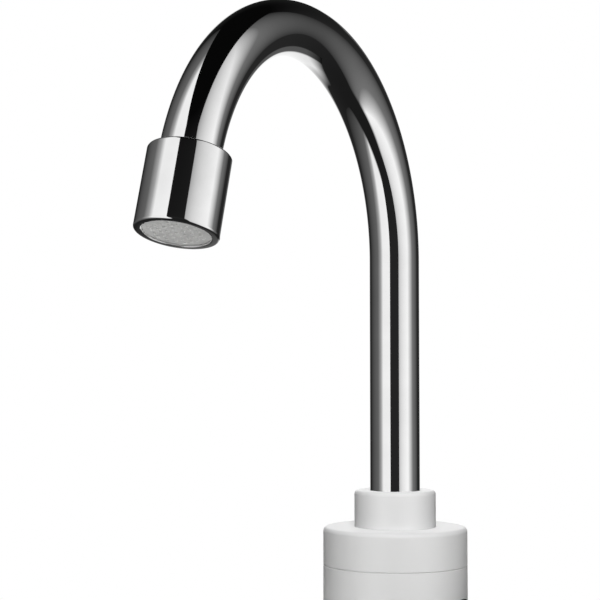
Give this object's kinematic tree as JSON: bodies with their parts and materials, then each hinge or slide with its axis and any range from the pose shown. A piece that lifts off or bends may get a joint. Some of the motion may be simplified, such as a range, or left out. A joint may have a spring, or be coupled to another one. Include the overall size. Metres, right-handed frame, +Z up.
{
  "type": "instant hot water tap",
  "caption": "Electric instant hot water tap with a chrome swivel gooseneck, white heater body, side lever and threaded deck shank.",
  "frame": {"origin": "on the body's axis, in the deck plane under the base gasket", "axes": "+Z up along the body's axis, -Y the way the spout points at rest, +X along the handle's axis"},
  "size_m": [0.0756, 0.2117, 0.352],
  "materials": {
    "white_abs": "gloss",
    "dark_abs": "satin",
    "chromed_steel": "polished",
    "chromed_zinc": "polished",
    "machined_brass": "satin",
    "stainless_steel": "satin",
    "plated_steel": "satin",
    "black_rubber": "matte",
    "grey_silicone": "matte",
    "white_acetal": "satin",
    "black_pps": "matte",
    "ivory_nylon": "satin",
    "black_nylon": "satin",
    "white_nylon": "satin",
    "alumina": "polished",
    "red_plastic": "gloss",
    "wire_silicone": "satin"
  },
  "bodies": {
    "body": {"base_gasket": "black_rubber", "base_cover": "white_abs", "base_screws": "plated_steel", "body_shell": "white_abs", "top_cap": "white_abs", "handle_bezel": "dark_abs", "spout_collar": "white_abs", "tank_cup": "black_pps", "port_o_ring": "black_rubber", "tank_lid": "black_pps", "tank_o_ring": "black_rubber", "tank_screws": "plated_steel", "heating_element": "stainless_steel", "element_seals": "grey_silicone", "element_nuts": "machined_brass", "element_terminals": "plated_steel", "thermal_cutout": "black_nylon", "valve_body": "machined_brass", "cartridge_seal": "black_rubber", "cartridge_body": "white_acetal", "cartridge_nut": "machined_brass", "fixed_disc": "alumina", "switch_membrane": "black_rubber", "membrane_cover": "black_pps", "cover_screws": "plated_steel", "plunger_spring": "stainless_steel", "microswitch": "black_nylon", "terminal_block": "ivory_nylon", "terminal_screws": "machined_brass", "lead_wires": "wire_silicone", "cord_gland": "white_nylon", "cord_gland_nut": "white_nylon", "cord_gland_cap": "white_nylon", "cord_gland_seal": "black_rubber", "inlet_shank": "machined_brass", "shank_o_ring": "black_rubber", "inlet_filter": "stainless_steel"},
    "spout": {"spout_tube": "chromed_steel", "spout_ferrule": "machined_brass", "spout_o_rings": "black_rubber", "spout_slip_ring": "white_acetal", "spout_end_fitting": "chromed_zinc", "aerator_housing": "chromed_zinc", "aerator_gasket": "black_rubber", "aerator_insert": "white_acetal", "outlet_screen": "grey_silicone"},
    "handle": {"handle_lever": "chromed_zinc", "handle_screw": "stainless_steel", "handle_screw_cap": "chromed_zinc", "valve_spindle": "machined_brass", "moving_disc": "alumina", "spindle_o_ring": "black_rubber"},
    "plunger": {"switch_plunger": "white_acetal"},
    "switch_button": {"microswitch_button": "red_plastic"},
    "clamp": {"mounting_nut": "machined_brass", "steel_washer": "plated_steel", "rubber_washer": "black_rubber"}
  },
  "joints": [
    {"name": "spout_swivel", "type": "hinge", "parent": "body", "child": "spout", "pos_m": [0, 0, 0.11], "axis": [0, 0, 1], "continuous": true},
    {"name": "handle_turn", "type": "hinge", "parent": "body", "child": "handle", "pos_m": [0.03, 0, 0.053], "axis": [1, 0, 0], "range_deg": [-90, 90]},
    {"name": "plunger_slide", "type": "slide", "parent": "body", "child": "plunger", "axis": [-1, 0, 0], "range_m": [0, 0.0007], "stiffness_N_per_m": 400, "deforming": ["plunger_spring"]},
    {"name": "button_slide", "type": "slide", "parent": "body", "child": "switch_button", "axis": [-1, 0, 0], "range_m": [0, 0.0007]},
    {"name": "clamp_slide", "type": "slide", "parent": "body", "child": "clamp", "axis": [0, 0, 1], "range_m": [-0.007, 0.016]}
  ],
  "couplings": [
    {"joint": "button_slide", "follows": "plunger_slide", "ratio": 1}
  ]
}
